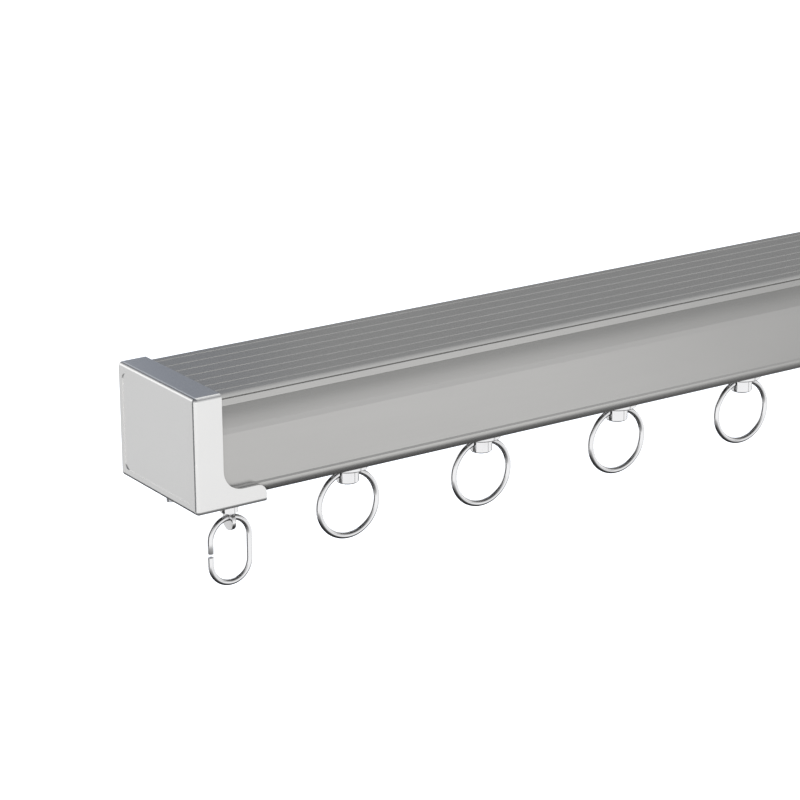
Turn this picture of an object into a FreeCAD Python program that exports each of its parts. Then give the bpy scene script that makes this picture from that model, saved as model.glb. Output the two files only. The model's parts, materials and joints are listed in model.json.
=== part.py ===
import FreeCAD, Part
import math
import os
from FreeCAD import Vector

# A ceiling curtain track: an extruded aluminium profile with an end cap, an end stop and an
# end link at each end, and wheeled gliders that each carry a swivel hanger with a ring.
# The origin is on the middle of the top face. X runs along the track, the front face looks
# along -Y and Z points up. All sizes are in millimetres.

# Track as a whole
overall_length = 500.0
track_width = 46.8
track_height = 35.0

# Walls of the extrusion
top_wall = 2.0
side_wall = 1.65
web_wall = 1.4
runner_thickness = 1.8
slot_width = 8.4
slot_edge_round = 0.4
channel_width = 24.0
channel_height = 13.6

# Grooves along the top face
groove_count = 7
groove_width = 0.7
groove_depth = 0.28

# Front face, from the top down, with depths measured back from the front plane
shoulder_width = 3.3
shoulder_drop = 0.6
shoulder_setback = 0.2
shadow_line_depth = 0.55
shadow_line_height = 0.42
lip_bottom = 3.3
lip_round = 0.15
lip_underside_fall = 0.2
cove_start_depth = 1.1
cove_depth = 2.2
cove_bulge = 0.18
cove_bottom = 11.6
ledge_depth = 1.65
ledge_height = 1.8
face_bottom_depth = 1.4
bead_radius = 3.8
bead_front_depth = 0.8
bead_middle = 3.0
bead_start = 3.55
bead_top = 4.1

# Groove in the back face that a ceiling clip grips with the front lip
clip_groove_depth = 1.7
clip_groove_height = 3.0

# End cap
cap_length = 10.0
cap_end_wall = 2.0
cap_side_wall = 1.2
cap_top_wall = 1.25
cap_bottom_wall = 2.3
cap_clearance = 0.15
cap_edge_round = 1.5
panel_margin = 3.0
panel_depth = 0.3
panel_corner = 2.4
finger_length = 15.7
finger_height = 6.25
finger_inner_round = 7.0
finger_tip_round = 3.4
finger_foot_width = 6.2

# End stop with its eye
stop_length = 28.2
stop_clearance = 0.12
stop_edge = 1.0
eye_place = 26.0
eye_stem_radius = 3.0
eye_stem_drop = 13.3
eye_radius = 3.3
eye_thickness = 1.4
eye_hole_drop = 2.0
eye_hole_rise = 1.1
eye_hole_clearance = 0.22

# Set screws of the cap and of the end stop
screw_clearance = 0.05
cap_screw_radius = 1.5
cap_screw_place = 4.6
cap_screw_length = 12.5
cap_screw_stand_out = 2.8
stop_screw_radius = 2.0
stop_screw_place = 15.0
stop_screw_sink = 0.4
socket_share = 0.5
socket_depth = 1.8

# End link, a long split ring in the eye
link_width = 16.7
link_height = 24.7
link_wire_radius = 1.0
link_gap = 1.2
link_gap_drop = 4.55

# Where the gliders stand: the first from the left end, the next steps, then evenly to the last
glider_count = 7
first_glider = 72.0
first_steps = [54.6, 58.9, 57.4]
last_glider_room = 86.1

# Wheels and axles
wheel_radius = 4.5
wheel_width = 4.4
wheel_round = 0.4
wheel_recess_depth = 0.6
wheel_recess_inner = 2.0
wheel_recess_outer = 3.5
wheel_lift = 0.1
wheel_side_gap = 0.1
axle_radius = 1.2
axle_spacing = 12.4
axle_fit = 0.01
wheel_fit = 0.05
axle_head_radius = 2.0
axle_head_thickness = 0.6

# Carriage
carriage_length = 23.8
carriage_width = 10.4
carriage_floor_gap = 0.7
carriage_height = 9.0
carriage_corner = 2.0
carriage_chamfer = 0.6
boss_radius = 2.2
boss_height = 0.2
neck_length = 9.2
neck_side_gap = 0.5
neck_corner = 1.5
clip_pocket_radius = 3.6
clip_pocket_depth = 4.0
weight_pocket_length = 4.0
weight_pocket_width = 6.4
weight_pocket_depth = 2.8

# Hanger, a turned collar that swivels in the carriage's neck
shank_radius = 1.7
swivel_fit = 0.05
hanger_end_gap = 0.3
flange_radius = 7.0
flange_thickness = 1.6
flange_top_drop = 5.7
flange_round = 0.4
barrel_radius = 3.8
barrel_length = 5.1
barrel_round = 0.5
shank_top_gap = 2.1

# Retaining clip in the groove of the shank
clip_thickness = 0.7
clip_outer_radius = 3.1
clip_slot_radius = 1.3
clip_slot_width = 0.8
clip_inner_fit = 0.02
clip_opening = 2.2
clip_lift = 0.2

# Curtain ring
ring_outer_radius = 12.5
ring_wire_radius = 1.05
ring_top_drop = 0.3
ring_hole_clearance = 0.15

front_plane = -track_width / 2
back_plane = track_width / 2
runner_top = -track_height + runner_thickness
channel_top = runner_top + channel_height
axle_height = runner_top + wheel_lift + wheel_radius
left_end = -overall_length / 2
cap_front = front_plane - cap_clearance - cap_side_wall
cap_top = cap_clearance + cap_top_wall
cap_bottom = -track_height - cap_clearance - cap_bottom_wall
cap_finger_end = cap_length + finger_length
flange_top = -track_height - flange_top_drop
flange_bottom = flange_top - flange_thickness
barrel_bottom = flange_bottom - barrel_length
neck_bottom = flange_top + hanger_end_gap
ring_circle_radius = ring_outer_radius - ring_wire_radius
ring_centre_height = flange_bottom - ring_top_drop - ring_outer_radius
ring_sag = ring_circle_radius - math.sqrt(ring_circle_radius ** 2 - barrel_radius ** 2)
ring_axis_height = ring_centre_height + ring_circle_radius - ring_sag / 2
ring_hole_radius = ring_wire_radius + ring_sag / 2 + ring_hole_clearance
eye_top = -track_height - eye_stem_drop
eye_axis_height = eye_top - eye_hole_drop
eye_hole_radius = link_wire_radius + eye_hole_clearance
link_bend_radius = link_width / 2 - link_wire_radius
link_straight = link_height - link_width


def block(x_range, y_range, z_range):
    size = [high - low for low, high in (x_range, y_range, z_range)]
    corner = Vector(x_range[0], y_range[0], z_range[0])
    return Part.makeBox(size[0], size[1], size[2], corner)


def rod(radius, start, direction, length):
    return Part.makeCylinder(radius, length, Vector(*start), Vector(*direction))


def closed_wire(start, steps, to_vector):
    # A step is a point to draw a line to, or a pair of points: one on the arc, then its end.
    edges = []
    here = to_vector(start)
    for step in steps + [start]:
        if isinstance(step[0], tuple):
            via = to_vector(step[0])
            there = to_vector(step[1])
            edges.append(Part.Arc(here, via, there).toShape())
        else:
            there = to_vector(step)
            if there.distanceToPoint(here) > 0:
                edges.append(Part.LineSegment(here, there).toShape())
        here = there
    return Part.Wire(edges)


def rounded_block(x_range, y_range, z_range, corner):
    shape = block(x_range, y_range, z_range)
    upright = [edge for edge in shape.Edges if abs(edge.tangentAt(edge.FirstParameter).z) > 0.5]
    return shape.makeFillet(corner, upright)


def edges_at(shape, height, radius):
    # The round edges of a turned piece at one height
    found = []
    for edge in shape.Edges:
        round_edge = isinstance(edge.Curve, Part.Circle) and len(edge.Vertexes) == 1
        if round_edge and abs(edge.Curve.Center.z - height) < 1e-6 and abs(edge.Curve.Radius - radius) < 1e-6:
            found.append(edge)
    return found


def along(path_point):
    return Vector(0, path_point[0], path_point[1])


def top_outline():
    # From the back edge to the shoulder, with the grooves evenly spread between them
    field_front = front_plane + shoulder_width
    cell = (back_plane - field_front) / groove_count
    points = []
    for number in range(groove_count):
        centre = back_plane - cell * (number + 0.5)
        points.append((centre + groove_width / 2, 0))
        points.append((centre, -groove_depth))
        points.append((centre - groove_width / 2, 0))
    points.append((field_front, 0))
    return points


def front_outline():
    shoulder_start = front_plane + shoulder_width
    shoulder_end = front_plane + shoulder_setback
    run = shoulder_start - shoulder_end
    radius = (run ** 2 + shoulder_drop ** 2) / (2 * shoulder_drop)
    half_turn = math.asin(run / radius) / 2
    shoulder_middle = (shoulder_start - radius * math.sin(half_turn), -radius * (1 - math.cos(half_turn)))
    lip_top = -shoulder_drop - shadow_line_height
    lip_inset = front_plane + lip_round
    corner_share = lip_round * (1 - math.sqrt(0.5))
    cove_top = -lip_bottom - lip_underside_fall
    cove_middle_depth = (cove_start_depth + cove_depth) / 2 + cove_bulge
    cove_middle = (front_plane + cove_middle_depth, (cove_top - cove_bottom) / 2)
    face_top = -cove_bottom - ledge_height

    def on_bead(height):
        across = math.sqrt(bead_radius ** 2 - (height - bead_middle) ** 2)
        return (front_plane + bead_front_depth + bead_radius - across, height - track_height)

    return [
        (shoulder_middle, (shoulder_end, -shoulder_drop)),
        (front_plane + shadow_line_depth, -shoulder_drop - shadow_line_height / 2),
        (front_plane, lip_top),
        (front_plane, -lip_bottom + lip_round),
        ((front_plane + corner_share, -lip_bottom + corner_share), (lip_inset, -lip_bottom)),
        (front_plane + cove_start_depth, cove_top),
        (cove_middle, (front_plane + cove_depth, -cove_bottom)),
        (front_plane + ledge_depth, face_top),
        (front_plane + face_bottom_depth, bead_top - track_height),
        on_bead(bead_start),
        (on_bead(bead_start / 2), on_bead(0)),
    ]


def channel_outline():
    # Round the slot's front edge, up into the running channel and out at the slot's back edge
    slot = slot_width / 2
    channel = channel_width / 2
    rounding = slot_edge_round * (1 - math.sqrt(0.5))
    return [
        (-slot - slot_edge_round, -track_height),
        ((-slot - rounding, -track_height + rounding), (-slot, -track_height + slot_edge_round)),
        (-slot, runner_top),
        (-channel, runner_top),
        (-channel, channel_top),
        (channel, channel_top),
        (channel, runner_top),
        (slot, runner_top),
        (slot, -track_height + slot_edge_round),
        ((slot + rounding, -track_height + rounding), (slot + slot_edge_round, -track_height)),
    ]


def back_outline():
    groove_floor = back_plane - clip_groove_depth
    return [
        (back_plane, -track_height),
        (back_plane, -lip_bottom - clip_groove_height),
        (groove_floor, -lip_bottom - clip_groove_height),
        (groove_floor, -lip_bottom),
        (back_plane, -lip_bottom),
    ]


def hollow_outlines():
    # The closed cells: in front of the channel, above it and behind it
    web = channel_width / 2 + web_wall
    ceiling = -top_wall
    cove_wall = front_plane + cove_depth + side_wall
    face_wall = front_plane + ledge_depth + side_wall
    groove_wall = back_plane - clip_groove_depth - side_wall
    back_wall = back_plane - side_wall
    groove_end = -lip_bottom - clip_groove_height - side_wall
    front_cell = [
        (-web, ceiling), (cove_wall, ceiling), (cove_wall, -cove_bottom - side_wall),
        (face_wall, -cove_bottom - side_wall), (face_wall, runner_top), (-web, runner_top),
    ]
    upper_cell = [
        (-web + web_wall, ceiling), (web - web_wall, ceiling),
        (web - web_wall, channel_top + web_wall), (-web + web_wall, channel_top + web_wall),
    ]
    back_cell = [
        (web, ceiling), (groove_wall, ceiling), (groove_wall, groove_end),
        (back_wall, groove_end), (back_wall, runner_top), (web, runner_top),
    ]
    return [front_cell, upper_cell, back_cell]


def make_track():
    start = (back_plane, 0)
    steps = top_outline() + front_outline() + channel_outline() + back_outline()
    section = Part.Face(closed_wire(start, steps, along))
    for outline in hollow_outlines():
        section = section.cut(Part.Face(closed_wire(outline[0], outline[1:], along)))
    length = overall_length - 2 * cap_end_wall
    section.translate(Vector(left_end + cap_end_wall, 0, 0))
    return section.Faces[0].extrude(Vector(length, 0, 0))


def make_cap():
    # In the end frame, where x is the distance in from the cap's outer face
    finger_top = cap_bottom + finger_height
    inner = finger_inner_round * (1 - math.sqrt(0.5))
    tip = finger_tip_round * (1 - math.sqrt(0.5))

    def side(point):
        return Vector(point[0], cap_front, point[1])

    steps = [
        (cap_length, cap_top),
        (cap_length, finger_top + finger_inner_round),
        ((cap_length + inner, finger_top + inner), (cap_length + finger_inner_round, finger_top)),
        (cap_finger_end - finger_tip_round, finger_top),
        ((cap_finger_end - tip, finger_top - tip), (cap_finger_end, finger_top - finger_tip_round)),
        (cap_finger_end, cap_bottom),
        (0, cap_bottom),
    ]
    outline = Part.Face(closed_wire((0, cap_top), steps, side))
    cap = outline.extrude(Vector(0, -2 * cap_front, 0))

    def rounded(edge):
        middle = edge.valueAt((edge.FirstParameter + edge.LastParameter) / 2)
        at_end = abs(middle.x) < 1e-6
        lengthwise = abs(middle.z - cap_top) < 1e-6 or abs(middle.z - cap_bottom) < 1e-6
        return at_end or (lengthwise and abs(abs(middle.y) + cap_front) < 1e-6)

    cap = cap.makeFillet(cap_edge_round, [edge for edge in cap.Edges if rounded(edge)])
    room = block(
        (cap_end_wall, cap_finger_end + cap_end_wall),
        (front_plane - cap_clearance, back_plane + cap_clearance),
        (-track_height - cap_clearance, cap_clearance),
    )
    foot = -cap_front - finger_foot_width
    opening = block(
        (cap_length, cap_finger_end + cap_end_wall),
        (-foot, foot),
        (cap_bottom - cap_bottom_wall, -track_height),
    )
    panel = block(
        (0, panel_depth),
        (cap_front + panel_margin, -cap_front - panel_margin),
        (cap_bottom + panel_margin, cap_top - panel_margin),
    )
    lengthwise = [edge for edge in panel.Edges if abs(edge.tangentAt(edge.FirstParameter).x) > 0.5]
    panel = panel.makeFillet(panel_corner, lengthwise)
    screw_hole = rod(
        cap_screw_radius + screw_clearance,
        (cap_screw_place, 0, cap_bottom - cap_bottom_wall),
        (0, 0, 1),
        2 * cap_bottom_wall + cap_clearance,
    )
    return cap.cut([room, opening, panel, screw_hole])


def make_stop():
    stop_start = cap_end_wall + stop_clearance
    stop_end = stop_start + stop_length
    half = channel_width / 2 - stop_clearance
    body = block(
        (stop_start, stop_end), (-half, half),
        (runner_top + stop_clearance, channel_top - stop_clearance),
    )
    upright = [edge for edge in body.Edges if abs(edge.tangentAt(edge.FirstParameter).z) > 0.5]
    body = body.makeFillet(stop_edge, upright)
    tongue_half = slot_width / 2 - stop_clearance
    tongue = block((stop_start, stop_end), (-tongue_half, tongue_half), (-track_height, runner_top + stop_edge))
    stem = rod(eye_stem_radius, (eye_place, 0, eye_top), (0, 0, 1), runner_top - eye_top)
    eye_start = eye_place - eye_thickness / 2
    eye = rod(eye_radius, (eye_start, 0, eye_axis_height - eye_hole_rise), (1, 0, 0), eye_thickness)
    stop = body.fuse([tongue, stem, eye]).removeSplitter()
    link_hole = rod(eye_hole_radius, (eye_start, 0, eye_axis_height), (1, 0, 0), eye_thickness)
    cap_hole_top = cap_bottom - cap_screw_stand_out + cap_screw_length + screw_clearance
    cap_hole = rod(
        cap_screw_radius + screw_clearance,
        (cap_screw_place, 0, cap_bottom), (0, 0, 1), cap_hole_top - cap_bottom,
    )
    stop_hole = rod(
        stop_screw_radius + screw_clearance,
        (stop_screw_place, 0, -track_height), (0, 0, 1), channel_top + track_height,
    )
    return stop.cut([link_hole, cap_hole, stop_hole])


def set_screw(radius, place, bottom, length):
    # A headless screw with a hexagon socket in its lower end
    screw = rod(radius, (place, 0, bottom), (0, 0, 1), length)
    across = radius * 2 * socket_share / math.sqrt(3)
    corners = [
        Vector(place + across * math.cos(math.radians(60 * turn)), across * math.sin(math.radians(60 * turn)), bottom)
        for turn in range(7)
    ]
    socket = Part.Face(Part.makePolygon(corners)).extrude(Vector(0, 0, socket_depth))
    return screw.cut(socket)


def make_link():
    top_centre = eye_axis_height - link_bend_radius
    bottom_centre = top_centre - link_straight
    gap_middle = top_centre - link_gap_drop
    left = eye_place - link_bend_radius
    right = eye_place + link_bend_radius

    def point(x, z):
        return Vector(x, 0, z)

    gap_top = point(left, gap_middle + link_gap / 2)
    path = Part.Wire([
        Part.LineSegment(gap_top, point(left, top_centre)).toShape(),
        Part.Arc(point(left, top_centre), point(eye_place, eye_axis_height), point(right, top_centre)).toShape(),
        Part.LineSegment(point(right, top_centre), point(right, bottom_centre)).toShape(),
        Part.Arc(
            point(right, bottom_centre),
            point(eye_place, bottom_centre - link_bend_radius),
            point(left, bottom_centre),
        ).toShape(),
        Part.LineSegment(point(left, bottom_centre), point(left, gap_middle - link_gap / 2)).toShape(),
    ])
    circle = Part.Wire(Part.makeCircle(link_wire_radius, gap_top, Vector(0, 0, 1)))
    return path.makePipeShell([circle], True, True)


def make_wheel(place_y):
    # Turned about an axle along Y, with a recess in each side
    half = wheel_width / 2
    bore = axle_radius + wheel_fit
    floor = half - wheel_recess_depth

    def turned(point):
        return Vector(point[0], point[1], 0)

    edge = wheel_round * (1 - math.sqrt(0.5))
    steps = [
        (wheel_recess_inner, -half),
        (wheel_recess_inner, -floor),
        (wheel_recess_outer, -floor),
        (wheel_recess_outer, -half),
        (wheel_radius - wheel_round, -half),
        ((wheel_radius - edge, -half + edge), (wheel_radius, -half + wheel_round)),
        (wheel_radius, half - wheel_round),
        ((wheel_radius - edge, half - edge), (wheel_radius - wheel_round, half)),
        (wheel_recess_outer, half),
        (wheel_recess_outer, floor),
        (wheel_recess_inner, floor),
        (wheel_recess_inner, half),
        (bore, half),
    ]
    section = Part.Face(closed_wire((bore, -half), steps, turned))
    wheel = section.revolve(Vector(0, 0, 0), Vector(0, 1, 0), 360)
    wheel.translate(Vector(0, place_y, axle_height))
    return wheel


def make_wheel_pair(place_x):
    middle = carriage_width / 2 + boss_height + wheel_side_gap + wheel_width / 2
    pair = Part.Compound([make_wheel(-middle), make_wheel(middle)])
    pair.translate(Vector(place_x, 0, 0))
    return pair


def make_axles():
    wheel_outer = carriage_width / 2 + boss_height + wheel_side_gap + wheel_width
    shoulder = wheel_outer + wheel_side_gap
    axles = []
    for place in (-axle_spacing / 2, axle_spacing / 2):
        pin = rod(axle_radius, (place, -shoulder, axle_height), (0, 1, 0), 2 * shoulder)
        heads = [
            rod(axle_head_radius, (place, shoulder, axle_height), (0, 1, 0), axle_head_thickness),
            rod(axle_head_radius, (place, -shoulder, axle_height), (0, -1, 0), axle_head_thickness),
        ]
        axles.append(pin.fuse(heads).removeSplitter())
    return Part.Compound(axles)


def make_carriage():
    floor = runner_top + carriage_floor_gap
    top = floor + carriage_height
    half_length = carriage_length / 2
    half_width = carriage_width / 2
    body = rounded_block((-half_length, half_length), (-half_width, half_width), (floor, top), carriage_corner)
    rim = [edge for edge in body.Edges if edge.CenterOfMass.z > top - 1e-6]
    body = body.makeChamfer(carriage_chamfer, rim)
    neck_half = slot_width / 2 - neck_side_gap
    neck = rounded_block(
        (-neck_length / 2, neck_length / 2), (-neck_half, neck_half),
        (neck_bottom, floor + carriage_chamfer), neck_corner,
    )
    additions = [neck]
    cuts = []
    for place in (-axle_spacing / 2, axle_spacing / 2):
        boss_end = half_width + boss_height
        additions.append(rod(boss_radius, (place, -boss_end, axle_height), (0, 1, 0), 2 * boss_end))
        cuts.append(rod(axle_radius + axle_fit, (place, -boss_end, axle_height), (0, 1, 0), 2 * boss_end))
        cuts.append(block(
            (place - weight_pocket_length / 2, place + weight_pocket_length / 2),
            (-weight_pocket_width / 2, weight_pocket_width / 2),
            (top - weight_pocket_depth, top),
        ))
    cuts.append(rod(shank_radius + swivel_fit, (0, 0, neck_bottom), (0, 0, 1), top - neck_bottom))
    cuts.append(rod(clip_pocket_radius, (0, 0, top - clip_pocket_depth), (0, 0, 1), clip_pocket_depth))
    return body.fuse(additions).removeSplitter().cut(cuts)


def clip_bottom():
    pocket_floor = runner_top + carriage_floor_gap + carriage_height - clip_pocket_depth
    return pocket_floor + clip_lift


def make_hanger():
    shank_top = runner_top + carriage_floor_gap + carriage_height - shank_top_gap
    shank = rod(shank_radius, (0, 0, flange_top), (0, 0, 1), shank_top - flange_top)
    flange = rod(flange_radius, (0, 0, flange_bottom), (0, 0, 1), flange_thickness)
    rims = edges_at(flange, flange_top, flange_radius) + edges_at(flange, flange_bottom, flange_radius)
    flange = flange.makeFillet(flange_round, rims)
    barrel = rod(barrel_radius, (0, 0, barrel_bottom), (0, 0, 1), barrel_length)
    barrel = barrel.makeFillet(barrel_round, edges_at(barrel, barrel_bottom, barrel_radius))
    hanger = flange.fuse([barrel, shank]).removeSplitter()
    hole = rod(ring_hole_radius, (-flange_radius, 0, ring_axis_height), (1, 0, 0), 2 * flange_radius)
    slot_bottom = clip_bottom() - (clip_slot_width - clip_thickness) / 2
    slot = rod(clip_outer_radius, (0, 0, slot_bottom), (0, 0, 1), clip_slot_width)
    slot = slot.cut(rod(clip_slot_radius, (0, 0, slot_bottom), (0, 0, 1), clip_slot_width))
    return hanger.cut([hole, slot])


def make_clip():
    clip = rod(clip_outer_radius, (0, 0, clip_bottom()), (0, 0, 1), clip_thickness)
    hole = rod(clip_slot_radius + clip_inner_fit, (0, 0, clip_bottom()), (0, 0, 1), clip_thickness)
    mouth = block(
        (0, clip_outer_radius), (-clip_opening / 2, clip_opening / 2),
        (clip_bottom(), clip_bottom() + clip_thickness),
    )
    return clip.cut([hole, mouth])


def make_ring():
    centre = Vector(0, 0, ring_centre_height)
    return Part.makeTorus(ring_circle_radius, ring_wire_radius, centre, Vector(0, 1, 0))


def glider_places():
    # Distances from the left end
    places = [first_glider]
    for step in first_steps:
        places.append(places[-1] + step)
    steps_left = glider_count - len(places)
    pitch = (overall_length - last_glider_room - places[-1]) / steps_left
    for _ in range(steps_left):
        places.append(places[-1] + pitch)
    return places


def at_left(shape):
    moved = shape.copy()
    moved.translate(Vector(left_end, 0, 0))
    return moved


def at_right(shape):
    return at_left(shape).mirror(Vector(0, 0, 0), Vector(1, 0, 0))


def save(name, shape):
    shape.exportStep("parts/" + name + ".step")


def build_all():
    os.makedirs("parts", exist_ok=True)
    save("track", make_track())
    for name, shape in (("end_cap", make_cap()), ("end_stop", make_stop()), ("end_link", make_link())):
        save("left_" + name, at_left(shape))
        save("right_" + name, at_right(shape))
    cap_screw = set_screw(
        cap_screw_radius, cap_screw_place, cap_bottom - cap_screw_stand_out, cap_screw_length,
    )
    stop_screw_length = channel_top + track_height - stop_screw_sink - screw_clearance
    stop_screw = set_screw(
        stop_screw_radius, stop_screw_place, -track_height + stop_screw_sink, stop_screw_length,
    )
    save("cap_screws", Part.Compound([at_left(cap_screw), at_right(cap_screw)]))
    save("stop_screws", Part.Compound([at_left(stop_screw), at_right(stop_screw)]))
    glider = {
        "carriage": make_carriage(),
        "axles": make_axles(),
        "left_wheels": make_wheel_pair(-axle_spacing / 2),
        "right_wheels": make_wheel_pair(axle_spacing / 2),
        "hanger": make_hanger(),
        "clip": make_clip(),
        "ring": make_ring(),
    }
    for number, place in enumerate(glider_places(), start=1):
        for name, shape in glider.items():
            copy = shape.copy()
            copy.translate(Vector(left_end + place, 0, 0))
            save(name + "_" + str(number), copy)


build_all()
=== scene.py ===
import json
import math
import bpy
from mathutils import Euler, Matrix, Vector

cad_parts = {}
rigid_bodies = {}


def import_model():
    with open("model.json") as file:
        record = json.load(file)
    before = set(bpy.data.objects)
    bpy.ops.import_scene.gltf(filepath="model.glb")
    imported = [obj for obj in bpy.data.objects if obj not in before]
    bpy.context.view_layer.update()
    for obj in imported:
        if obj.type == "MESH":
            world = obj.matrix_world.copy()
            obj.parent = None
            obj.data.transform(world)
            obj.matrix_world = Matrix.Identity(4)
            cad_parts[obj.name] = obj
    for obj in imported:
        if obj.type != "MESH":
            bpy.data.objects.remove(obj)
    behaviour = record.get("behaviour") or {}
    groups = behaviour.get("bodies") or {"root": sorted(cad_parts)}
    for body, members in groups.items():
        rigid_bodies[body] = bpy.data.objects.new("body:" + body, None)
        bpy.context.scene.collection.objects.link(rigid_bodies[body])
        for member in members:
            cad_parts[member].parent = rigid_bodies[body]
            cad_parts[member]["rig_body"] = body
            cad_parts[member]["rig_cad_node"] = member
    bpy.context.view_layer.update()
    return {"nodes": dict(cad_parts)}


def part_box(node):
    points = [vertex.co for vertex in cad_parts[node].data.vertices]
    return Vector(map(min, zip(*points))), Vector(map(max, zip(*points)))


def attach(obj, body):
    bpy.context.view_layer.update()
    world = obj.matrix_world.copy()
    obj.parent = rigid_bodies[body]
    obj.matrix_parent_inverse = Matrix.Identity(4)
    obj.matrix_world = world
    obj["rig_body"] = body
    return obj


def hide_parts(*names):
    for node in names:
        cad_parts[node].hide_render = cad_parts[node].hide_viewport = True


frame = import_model()
nodes = frame["nodes"]
bpy.ops.object.select_all(action="DESELECT")
MM = 0.001
HALF_TURN = math.pi
QUARTER_TURN = math.pi / 2
glider_count = sum(1 for node in nodes if node.startswith("ring_"))


# Small steps that every piece uses, with widths in mm and angles in degrees

merge_distance = 0.001
flat_angle = 0.5
round_angle = 30
smooth_angle = 35


def pick(piece):
    """Selects the piece and nothing else."""
    bpy.ops.object.select_all(action="DESELECT")
    piece.select_set(True)
    bpy.context.view_layer.objects.active = piece


def fresh(name):
    """The object that the last operator added, under its own name and alone in the selection."""
    piece = bpy.context.active_object
    piece.name = name
    piece.data.name = name
    pick(piece)
    return piece


def settle(piece):
    """Moves the object's place and turn into its mesh."""
    pick(piece)
    bpy.ops.object.transform_apply(location=True, rotation=True, scale=True)


def choose(piece, kind, test=None):
    """Goes into edit mode with the vertices or edges that pass the test selected, or all for no test."""
    pick(piece)
    bpy.ops.object.mode_set(mode="EDIT")
    bpy.ops.mesh.select_mode(type=kind)
    bpy.ops.mesh.select_all(action="DESELECT" if test else "SELECT")
    if test:
        bpy.ops.object.mode_set(mode="OBJECT")
        vertices = piece.data.vertices
        if kind == "VERT":
            for vertex in vertices:
                vertex.select = test(vertex.co)
        else:
            for edge in piece.data.edges:
                edge.select = test(*(vertices[index].co for index in edge.vertices))
        bpy.ops.object.mode_set(mode="EDIT")


def leave():
    bpy.ops.object.mode_set(mode="OBJECT")


def merge_doubles(piece):
    choose(piece, "VERT")
    bpy.ops.mesh.remove_doubles(threshold=merge_distance * MM)
    leave()


def face_outwards(piece):
    choose(piece, "FACE")
    bpy.ops.mesh.normals_make_consistent(inside=False)
    leave()


def join_flats(piece):
    """Joins the triangles that lie in one plane."""
    choose(piece, "FACE")
    bpy.ops.mesh.dissolve_limited(angle_limit=math.radians(flat_angle))
    leave()


def apply_modifier(piece, kind, **values):
    pick(piece)
    bpy.ops.object.modifier_add(type=kind)
    modifier = piece.modifiers[-1]
    for name, value in values.items():
        setattr(modifier, name, value)
    bpy.ops.object.modifier_apply(modifier=modifier.name)


def soften(piece, width, degrees=round_angle):
    """Rounds each edge that turns by more than the angle."""
    apply_modifier(piece, "BEVEL", width=width * MM, segments=2, limit_method="ANGLE",
                   angle_limit=math.radians(degrees), use_clamp_overlap=True)


def smooth(piece, degrees=smooth_angle):
    """Shades the piece smooth, apart from each edge that turns by more than the angle."""
    pick(piece)
    bpy.ops.object.shade_smooth_by_angle(angle=math.radians(degrees))


def even_normals(piece):
    """Keeps the shading of large flat faces flat up to their rounded edges."""
    apply_modifier(piece, "WEIGHTED_NORMAL", keep_sharp=True)


# Shader nodes

def shader_kind(tree, kind):
    return tree.nodes.new("ShaderNode" + kind)


def maths(tree, operation, *values):
    """A Math node on numbers and sockets."""
    node = shader_kind(tree, "Math")
    node.operation = operation
    for socket, value in zip(node.inputs, values):
        if isinstance(value, (int, float)):
            socket.default_value = value
        else:
            tree.links.new(value, socket)
    return node.outputs[0]


def ranged(tree, value, start, end, first, last, kind="LINEAR"):
    """Goes from first to last while the value goes from start to end."""
    node = shader_kind(tree, "MapRange")
    node.interpolation_type = kind
    for name, level in (("From Min", start), ("From Max", end), ("To Min", first), ("To Max", last)):
        node.inputs[name].default_value = level
    tree.links.new(value, node.inputs["Value"])
    return node.outputs["Result"]


def eased(tree, value, start, end, first, last):
    """Like ranged, but it starts and ends gently."""
    return ranged(tree, value, start, end, first, last, "SMOOTHSTEP")


def blended(tree, share, first, second):
    """A colour between two others, each given as a colour or as a socket."""
    node = shader_kind(tree, "Mix")
    node.data_type = "RGBA"
    tree.links.new(share, node.inputs["Factor"])
    for name, colour in (("A", first), ("B", second)):
        if isinstance(colour, tuple):
            node.inputs[name].default_value = (*colour, 1)
        else:
            tree.links.new(colour, node.inputs[name])
    return node.outputs["Result"]


# Finishes

# A noise value is mostly between the first two, and nearly always between the other two.
noise_low, noise_high = 0.3, 0.7
noise_lowest, noise_highest = 0.1, 0.9


def finish_base(name, colour, roughness, metallic=0.0):
    material = bpy.data.materials.new(name)
    material.use_nodes = True
    shader = material.node_tree.nodes["Principled BSDF"]
    shader.inputs["Base Color"].default_value = (*colour, 1)
    shader.inputs["Roughness"].default_value = roughness
    shader.inputs["Metallic"].default_value = metallic
    return material, material.node_tree, shader


def grain(tree, scale, detail=3.0):
    """Noise on Object coordinates, stretched by a different scale along each axis."""
    place = shader_kind(tree, "TexCoord")
    mapping = shader_kind(tree, "Mapping")
    mapping.inputs["Scale"].default_value = scale
    noise = shader_kind(tree, "TexNoise")
    noise.inputs["Scale"].default_value = 1.0
    noise.inputs["Detail"].default_value = detail
    tree.links.new(place.outputs["Object"], mapping.inputs["Vector"])
    tree.links.new(mapping.outputs["Vector"], noise.inputs["Vector"])
    return noise.outputs["Fac"]


def spread(tree, noise, low, high, start=noise_low, end=noise_high):
    """Maps a noise value to a range."""
    return ranged(tree, noise, start, end, low, high)


def tint(tree, shader, share, dark, light):
    """Lets the colour drift between a darker and a lighter shade."""
    tree.links.new(blended(tree, share, dark, light), shader.inputs["Base Color"])


def relief(tree, shader, noise, strength, depth):
    """A faint bump, with its depth in mm."""
    bump = shader_kind(tree, "Bump")
    bump.inputs["Strength"].default_value = strength
    bump.inputs["Distance"].default_value = depth * MM
    tree.links.new(noise, bump.inputs["Height"])
    tree.links.new(bump.outputs["Normal"], shader.inputs["Normal"])


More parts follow.
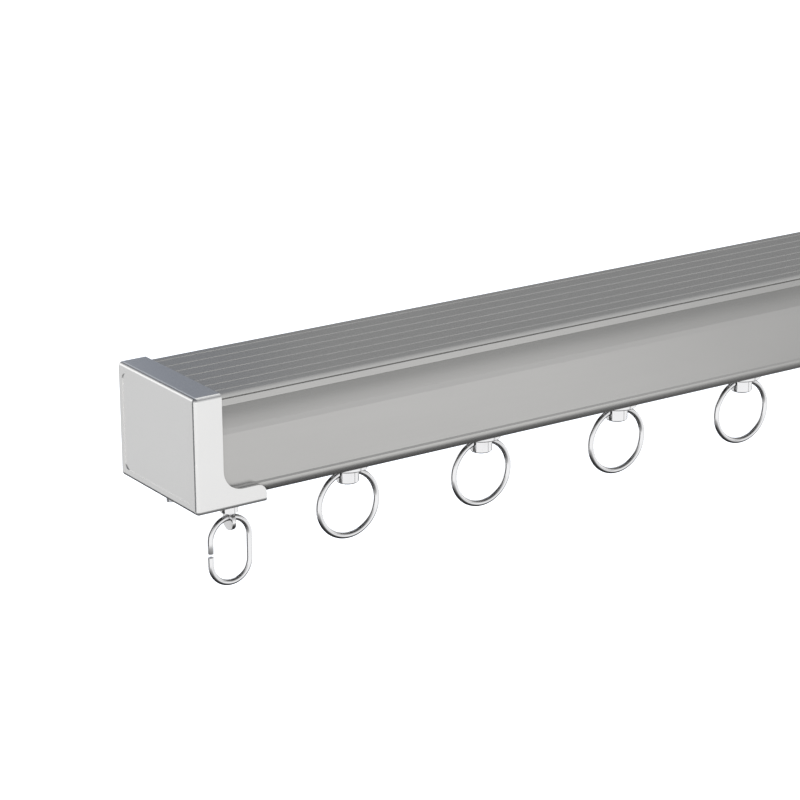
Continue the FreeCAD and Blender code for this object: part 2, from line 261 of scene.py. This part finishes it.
def anodised_finish():
    """Satin anodised aluminium. The fine lines that the die leaves along it spread what it reflects."""
    material, tree, shader = finish_base("satin_anodised", (0.523, 0.518, 0.505), 0.23, 0.9)
    lines = grain(tree, (9, 3100, 3100))
    clouds = grain(tree, (22, 70, 70), 2.0)
    along = shader_kind(tree, "CombineXYZ")
    along.inputs["X"].default_value = 1.0
    tree.links.new(along.outputs["Vector"], shader.inputs["Tangent"])
    shader.inputs["Anisotropic"].default_value = 0.88
    shader.inputs["Anisotropic Rotation"].default_value = 0.25
    tree.links.new(spread(tree, lines, 0.22, 0.24), shader.inputs["Roughness"])
    tint(tree, shader, spread(tree, clouds, 0.0, 1.0), (0.516, 0.511, 0.498), (0.53, 0.525, 0.512))
    relief(tree, shader, lines, 0.02, 0.01)
    return material


def cap_finish():
    """Moulded plastic with a thin satin silver coat, and a trace of mould texture."""
    material, tree, shader = finish_base("silvered_plastic", (0.79, 0.785, 0.776), 0.2, 0.85)
    pores = grain(tree, (1400, 1400, 1400), 2.0)
    clouds = grain(tree, (40, 40, 40), 1.0)
    tree.links.new(spread(tree, pores, 0.18, 0.22, noise_lowest, noise_highest), shader.inputs["Roughness"])
    share = spread(tree, clouds, 0.0, 1.0, noise_lowest, noise_highest)
    tint(tree, shader, share, (0.775, 0.77, 0.761), (0.795, 0.79, 0.781))
    relief(tree, shader, pores, 0.03, 0.01)
    return material


def plated_finish(name, roughness):
    """Bright plating with faint polishing marks."""
    material, tree, shader = finish_base(name, (0.84, 0.84, 0.85), roughness, 1.0)
    marks = grain(tree, (420, 420, 420), 4.0)
    tree.links.new(spread(tree, marks, roughness * 0.6, roughness * 1.5), shader.inputs["Roughness"])
    relief(tree, shader, marks, 0.04, 0.02)
    return material


def steel_finish(name, colour, roughness, scale):
    """Plain steel with fine marks, at a scale for each axis."""
    material, tree, shader = finish_base(name, colour, roughness, 1.0)
    marks = grain(tree, scale)
    tree.links.new(spread(tree, marks, roughness * 0.75, roughness * 1.3), shader.inputs["Roughness"])
    relief(tree, shader, marks, 0.15, 0.02)
    return material


def moulded_finish(name, colour, roughness, texture):
    """Plain moulded plastic, its colour a little uneven and its surface faintly textured."""
    material, tree, shader = finish_base(name, colour, roughness)
    clouds = grain(tree, (140, 140, 140), 2.0)
    pores = grain(tree, (3200, 3200, 3200), 2.0)
    darker = tuple(channel * 0.95 for channel in colour)
    tint(tree, shader, spread(tree, clouds, 0.0, 1.0), darker, colour)
    tree.links.new(spread(tree, pores, roughness * 0.85, roughness * 1.15), shader.inputs["Roughness"])
    relief(tree, shader, pores, texture, 0.01)
    return material


finishes = {
    "anodised_profile": anodised_finish(),
    "cap_plastic": cap_finish(),
    "plated_casting": plated_finish("plated_casting", 0.12),
    "ring_wire": plated_finish("bright_wire", 0.08),
    "screw_steel": steel_finish("zinc_plated_steel", (0.62, 0.63, 0.65), 0.34, (900, 900, 900)),
    "carriage_plastic": moulded_finish("natural_white_plastic", (0.86, 0.86, 0.83), 0.42, 0.1),
    "wheel_plastic": moulded_finish("white_wheel_plastic", (0.88, 0.88, 0.87), 0.3, 0.05),
    "axle_steel": steel_finish("bright_pin_steel", (0.7, 0.7, 0.71), 0.22, (2400, 160, 2400)),
}


# The pieces, with sizes in mm

def stands_for(piece, node, slot):
    """Gives the piece its finish, and puts it in the place of a CAD node and on that node's body."""
    piece.data.materials.clear()
    piece.data.materials.append(finishes[slot])
    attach(piece, nodes[node]["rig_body"])
    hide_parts(node)


def duplicate(piece, name, shift):
    """A copy with its own mesh, moved by shift."""
    pick(piece)
    bpy.ops.object.duplicate()
    copy = fresh(name)
    copy.location = shift
    settle(copy)
    return copy


def one_per_glider(piece, name, kind, slot):
    """Copies the first glider's piece to the other gliders, and puts each in the place of its CAD node."""
    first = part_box(kind + "_1")[0].x
    pieces = [piece]
    for number in range(2, glider_count + 1):
        shift = Vector((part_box("%s_%d" % (kind, number))[0].x - first, 0, 0))
        pieces.append(duplicate(piece, "%s_%d" % (name, number), shift))
    for number, each in enumerate(pieces, start=1):
        stands_for(each, "%s_%d" % (kind, number), slot)


wire_sides = 24
ring_outer = 12.5
ring_wire = 1.05
ring_steps = 128
ring_seam_reach = 0.02
ring_seam_pinch = 0.9


def make_rings():
    """One ring of bent wire with its butt seam inside the hanger, copied along the track."""
    low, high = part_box("ring_1")
    middle = (low + high) / 2
    wire_middle = (ring_outer - ring_wire) * MM
    bpy.ops.mesh.primitive_torus_add(
        location=middle, rotation=(QUARTER_TURN, 0, 0), major_segments=ring_steps,
        minor_segments=wire_sides, major_radius=wire_middle, minor_radius=ring_wire * MM)
    ring = fresh("curtain_ring_1")
    settle(ring)
    reach = ring_seam_reach * MM
    choose(ring, "VERT", lambda place: abs(place.x - middle.x) < reach and place.z > middle.z)
    bpy.ops.transform.resize(value=(1, ring_seam_pinch, ring_seam_pinch),
                             center_override=middle + Vector((0, 0, wire_middle)))
    leave()
    smooth(ring, degrees=60)
    one_per_glider(ring, "curtain_ring", "ring", "ring_wire")


link_width = 16.7
link_height = 24.7
link_wire = 1.0
link_gap = 1.2
link_gap_drop = 4.55
link_bend_steps = 36
link_end_round = 0.15
link_end_reach = 0.01


def make_link(node, name, gap_side):
    """Round wire bent to a long link: a straight, a half turn, a straight, a half turn and a straight."""
    low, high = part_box(node)
    across = (low.x + high.x) / 2
    bend = (link_width / 2 - link_wire) * MM
    top = high.z - (link_width / 2) * MM
    bottom = top - (link_height - link_width) * MM
    gap_top = top - (link_gap_drop - link_gap / 2) * MM
    gap_bottom = top - (link_gap_drop + link_gap / 2) * MM
    bpy.ops.mesh.primitive_circle_add(vertices=wire_sides, radius=link_wire * MM,
                                      location=(across + gap_side * bend, 0, gap_top))
    link = fresh(name)
    settle(link)
    choose(link, "EDGE")
    for straight, bend_height in ((top - gap_top, top), (bottom - top, bottom)):
        bpy.ops.mesh.extrude_region_move(TRANSFORM_OT_translate={"value": (0, 0, straight)})
        bpy.ops.mesh.spin(steps=link_bend_steps, angle=gap_side * HALF_TURN,
                          center=(across, 0, bend_height), axis=(0, 1, 0))
    bpy.ops.mesh.extrude_region_move(TRANSFORM_OT_translate={"value": (0, 0, gap_bottom - bottom)})
    leave()
    merge_doubles(link)

    def on_end(place, height):
        return abs(place.z - height) < link_end_reach * MM and (place.x - across) * gap_side > 0

    for height in (gap_top, gap_bottom):
        choose(link, "EDGE", lambda *ends: all(on_end(place, height) for place in ends))
        bpy.ops.mesh.edge_face_add()
        leave()
    face_outwards(link)
    soften(link, link_end_round, degrees=60)
    smooth(link, degrees=40)
    stands_for(link, node, "ring_wire")


turned_sides = 72
corner_steps = 4
dish_middle_radius = 0.6
dish_radius = 2.5
dish_rim_radius = 2.7
dish_depth = 0.25
barrel_radius = 3.8
barrel_height = 5.1
barrel_corner = 0.5
barrel_fillet = 0.3
barrel_fillet_belly = 0.09
flange_radius = 7.0
flange_thickness = 1.6
flange_corner = 0.4
shank_radius = 1.7
shank_fillet = 0.2
shank_chamfer = 0.25
shank_middle_radius = 0.3
clip_slot_radius = 1.3
clip_slot_width = 0.8
clip_slot_drop = 1.75
clip_slot_draft = 0.02
ring_axis_under_flange = 1.675
ring_hole_radius = 1.525
ring_hole_sides = 40
drill_length = 12


def turned(name, middle, profile):
    """A piece turned in a lathe: profile is pairs of radius and height, in mm."""
    radius, height = profile[0]
    bpy.ops.mesh.primitive_circle_add(vertices=turned_sides, radius=radius * MM, fill_type="NGON",
                                      location=(0, 0, height * MM))
    piece = fresh(name)
    settle(piece)
    choose(piece, "FACE")
    for next_radius, next_height in profile[1:]:
        share = next_radius / radius
        bpy.ops.mesh.extrude_region_move(
            TRANSFORM_OT_translate={"value": (0, 0, (next_height - height) * MM)})
        bpy.ops.transform.resize(value=(share, share, 1), center_override=(0, 0, next_height * MM))
        radius, height = next_radius, next_height
    leave()
    piece.location = middle
    settle(piece)
    merge_doubles(piece)
    face_outwards(piece)
    smooth(piece)
    return piece


def rounded_corner(radius, height, size, upper=False):
    """Points of the rounded lower corner of a turned rim at this height, or of its upper corner."""
    points = []
    for step in range(corner_steps + 1):
        angle = QUARTER_TURN * step / corner_steps
        rise = size * (1 - math.cos(angle))
        points.append((radius - size + size * math.sin(angle), height - rise if upper else height + rise))
    return points[::-1] if upper else points


def make_hangers():
    """A turned collar: barrel, flange and shank, with the ring's hole bored across the barrel."""
    low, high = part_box("hanger_1")
    middle = Vector(((low.x + high.x) / 2, 0, 0))
    bottom, top = low.z / MM, high.z / MM
    flange_low = bottom + barrel_height
    flange_high = flange_low + flange_thickness
    slot_low = top - clip_slot_drop
    slot_high = slot_low + clip_slot_width
    profile = [
        (dish_middle_radius, bottom + dish_depth),
        (dish_radius, bottom + dish_depth),
        (dish_rim_radius, bottom),
        *rounded_corner(barrel_radius, bottom, barrel_corner),
        (barrel_radius, flange_low - barrel_fillet),
        (barrel_radius + barrel_fillet_belly, flange_low - barrel_fillet_belly),
        (barrel_radius + barrel_fillet, flange_low),
        *rounded_corner(flange_radius, flange_low, flange_corner),
        *rounded_corner(flange_radius, flange_high, flange_corner, upper=True),
        (shank_radius + shank_fillet, flange_high),
        (shank_radius, flange_high + shank_fillet),
        (shank_radius, slot_low),
        (clip_slot_radius, slot_low + clip_slot_draft),
        (clip_slot_radius, slot_high - clip_slot_draft),
        (shank_radius, slot_high),
        (shank_radius, top - shank_chamfer),
        (shank_radius - shank_chamfer, top),
        (shank_middle_radius, top),
    ]
    hanger = turned("hanger_collar_1", middle, profile)
    bpy.ops.mesh.primitive_cylinder_add(
        vertices=ring_hole_sides, radius=ring_hole_radius * MM, depth=drill_length * MM,
        rotation=(0, QUARTER_TURN, 0), location=(middle.x, 0, (flange_low - ring_axis_under_flange) * MM))
    drill = fresh("drill")
    settle(drill)
    apply_modifier(hanger, "BOOLEAN", operation="DIFFERENCE", object=drill, solver="EXACT")
    bpy.data.objects.remove(drill)
    smooth(hanger)
    even_normals(hanger)
    one_per_glider(hanger, "hanger_collar", "hanger", "plated_casting")


def from_solid(node, name, edge_round, slot, degrees=smooth_angle):
    """A merged copy of a CAD node's solid. Its sharp edges are rounded, or else its flats are joined."""
    pick(nodes[node])
    bpy.ops.object.duplicate()
    piece = fresh(name)
    piece.parent = None
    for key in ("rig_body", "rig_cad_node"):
        if key in piece:
            del piece[key]
    merge_doubles(piece)
    # The normals that the mesh was loaded with would make smooth() mark the wrong edges as sharp.
    bpy.ops.mesh.customdata_custom_splitnormals_clear()
    if edge_round:
        soften(piece, edge_round)
    else:
        join_flats(piece)
    smooth(piece, degrees)
    even_normals(piece)
    stands_for(piece, node, slot)


make_rings()
make_link("left_end_link", "left_split_link", gap_side=-1)
make_link("right_end_link", "right_split_link", gap_side=1)
make_hangers()
from_solid("track", "track_profile", 0.1, "anodised_profile", degrees=12)

# Each row gives a node, the name of its piece, the rounding of its edges, and its finish.
fixed_solids = (
    ("left_end_cap", "left_cap_shell", 0, "cap_plastic"),
    ("left_end_stop", "left_stop_casting", 0.25, "plated_casting"),
    ("right_end_cap", "right_cap_shell", 0, "cap_plastic"),
    ("right_end_stop", "right_stop_casting", 0.25, "plated_casting"),
    ("cap_screws", "cap_set_screws", 0.12, "screw_steel"),
    ("stop_screws", "stop_set_screws", 0.12, "screw_steel"),
)
glider_solids = (
    ("carriage", "carriage_body", 0.25, "carriage_plastic"),
    ("axles", "axle_pins", 0.1, "axle_steel"),
    ("clip", "retaining_clip", 0.06, "axle_steel"),
    ("left_wheels", "left_wheel_pair", 0, "wheel_plastic"),
    ("right_wheels", "right_wheel_pair", 0, "wheel_plastic"),
)
for row in fixed_solids:
    from_solid(*row)
for node, name, edge_round, slot in glider_solids:
    for number in range(1, glider_count + 1):
        from_solid("%s_%d" % (node, number), "%s_%d" % (name, number), edge_round, slot)


# Floor, light and camera, with places in metres

white = (1, 1, 1)
floor_size = 30
floor_height = -0.7
floor_grey = (0.93, 0.93, 0.93)
floor_glow = 1.2


def make_floor():
    """A pale floor that shows white to the camera."""
    bpy.ops.mesh.primitive_plane_add(size=floor_size, location=(0, 0, floor_height))
    floor = fresh("floor")
    material, tree, shader = finish_base("pale_floor", floor_grey, 0.9)
    shader.inputs["Specular IOR Level"].default_value = 0.0
    ray = shader_kind(tree, "LightPath")
    glow = shader_kind(tree, "Emission")
    glow.inputs["Strength"].default_value = floor_glow
    both = shader_kind(tree, "AddShader")
    mixed = shader_kind(tree, "MixShader")
    output = tree.nodes["Material Output"]
    tree.links.new(shader.outputs[0], both.inputs[0])
    tree.links.new(glow.outputs[0], both.inputs[1])
    tree.links.new(ray.outputs["Is Camera Ray"], mixed.inputs[0])
    tree.links.new(shader.outputs[0], mixed.inputs[1])
    tree.links.new(both.outputs[0], mixed.inputs[2])
    tree.links.new(mixed.outputs[0], output.inputs["Surface"])
    floor.data.materials.append(material)
    floor.visible_glossy = False
    floor.visible_diffuse = False


# Each light panel that the metal reflects: the azimuth that it goes from and to, and how soft those edges
# are, in degrees, then the heights where it starts, is full, fades and ends, as the Z of the direction that
# it is seen in, and its strength.
studio_panels = (
    (-178, -50.7, 0.5, -0.53, -0.38, 0.0, 0.3, 0.38),
    (-50.7, -45, 0.5, -0.53, -0.38, 0.0, 0.3, 0.1),
    (-178, -45, 2, -0.89, -0.3, 0.3, 0.9, 0.63),
    (-42, 32, 5, -0.53, -0.38, 0.0, 0.5, 0.37),
    (-42, 32, 5, -0.89, -0.3, 0.85, 1.1, 0.63),
    (34, 59.5, 1, 0.02, 0.15, 0.9, 0.97, 0.28),
    (24, 80, 5, 0.27, 1.2, 0.9, 0.97, 1.34),
    (64, 138, 4, -0.48, -0.36, 0.35, 0.5, 0.72),
    (88, 130, 4, 0.02, 0.14, 0.4, 0.6, 0.6),
    (30, 58, 4, -0.72, -0.56, -0.46, -0.38, 0.8),
    (130, 158, 4, -0.72, -0.56, -0.46, -0.38, 0.8),
)
cool_panel = (59.5, 84, 1, 0.1, 0.2, 0.9, 0.97, 0.138)
cool_tint = (0.86, 1.0, 1.3)
studio_darkness = 0.035
ambient_above = (0.25, 0.31, 0.42)
ambient_below = (0.1, 0.1, 0.1)
ambient_heights = (-0.4, 0.3)


def panel_light(tree, azimuth, height, panel):
    """One softbox: a stretch of azimuth and of height, with soft edges."""
    az_from, az_to, edge, starts, full, fades, ends, strength = panel
    middle = math.radians((az_from + az_to) / 2)
    half = (az_to - az_from) / 2
    turned_by = maths(tree, "WRAP", maths(tree, "SUBTRACT", azimuth, middle), HALF_TURN, -HALF_TURN)
    apart = maths(tree, "ABSOLUTE", turned_by)
    across = eased(tree, apart, math.radians(half - edge), math.radians(half + edge), strength, 0)
    rising = eased(tree, height, starts, full, 0, 1)
    falling = eased(tree, height, fades, ends, 1, 0)
    return maths(tree, "MULTIPLY", across, maths(tree, "MULTIPLY", rising, falling))


def make_world():
    """White to the camera, the panels in reflections, and a soft ambient light for all else."""
    world = bpy.data.worlds.new("studio")
    bpy.context.scene.world = world
    world.use_nodes = True
    world.cycles.sampling_method = "NONE"
    tree = world.node_tree
    background = tree.nodes["Background"]
    ray = shader_kind(tree, "LightPath")
    place = shader_kind(tree, "TexCoord")
    split = shader_kind(tree, "SeparateXYZ")
    tree.links.new(place.outputs["Generated"], split.inputs[0])
    azimuth = maths(tree, "ARCTAN2", split.outputs["Y"], split.outputs["X"])
    height = split.outputs["Z"]
    neutral = studio_darkness
    for panel in studio_panels:
        neutral = maths(tree, "ADD", panel_light(tree, azimuth, height, panel), neutral)
    mirrored = shader_kind(tree, "VectorMath")
    mirrored.operation = "MULTIPLY_ADD"
    mirrored.inputs[1].default_value = cool_tint
    tree.links.new(panel_light(tree, azimuth, height, cool_panel), mirrored.inputs[0])
    tree.links.new(neutral, mirrored.inputs[2])
    above = eased(tree, height, *ambient_heights, 0, 1)
    ambient = blended(tree, above, ambient_below, ambient_above)
    lighting = blended(tree, ray.outputs["Is Glossy Ray"], ambient, mirrored.outputs["Vector"])
    seen = maths(tree, "MAXIMUM", ray.outputs["Is Camera Ray"], ray.outputs["Is Transmission Ray"])
    tree.links.new(blended(tree, seen, lighting, white), background.inputs["Color"])


lamp_target = Vector((-0.2, 0, 0))


def make_lamp(name, place, size, watts):
    """A soft lamp aimed at the near end, unseen in reflections."""
    bpy.ops.object.light_add(type="AREA", location=place)
    lamp = fresh(name)
    lamp.data.shape = "RECTANGLE"
    lamp.data.size, lamp.data.size_y = size
    lamp.data.energy = watts
    lamp.rotation_euler = (lamp_target - Vector(place)).to_track_quat("-Z", "Y").to_euler()
    lamp.visible_glossy = False


# The photograph's camera, with its angles in radians and its lens in mm
camera_yaw = 0.589054
camera_pitch = 0.318171
camera_roll = -0.0069556
camera_place = (-0.675972, -0.777024, 0.284910)
camera_lens = 132.147


def make_camera():
    bpy.ops.object.camera_add(location=camera_place)
    camera = fresh("photo_camera")
    turn = Euler((0, 0, -camera_yaw)).to_matrix()
    tilt = Euler((QUARTER_TURN - camera_pitch, 0, 0)).to_matrix()
    roll = Euler((0, 0, camera_roll)).to_matrix()
    camera.matrix_world = Matrix.Translation(camera_place) @ (turn @ tilt @ roll).to_4x4()
    camera.data.sensor_fit = "HORIZONTAL"
    camera.data.sensor_width = 36
    camera.data.lens = camera_lens
    camera.data.clip_start = 0.01
    camera.data.clip_end = 60
    camera.data.dof.use_dof = False
    bpy.context.scene.camera = camera


make_floor()
make_world()
make_lamp("front_light", place=(-0.9, -1.15, 0.02), size=(0.9, 0.7), watts=23)
make_lamp("left_light", place=(-1.7, 0.35, 0.02), size=(0.7, 0.7), watts=4.5)
make_camera()
bpy.context.scene.view_settings.view_transform = "Standard"
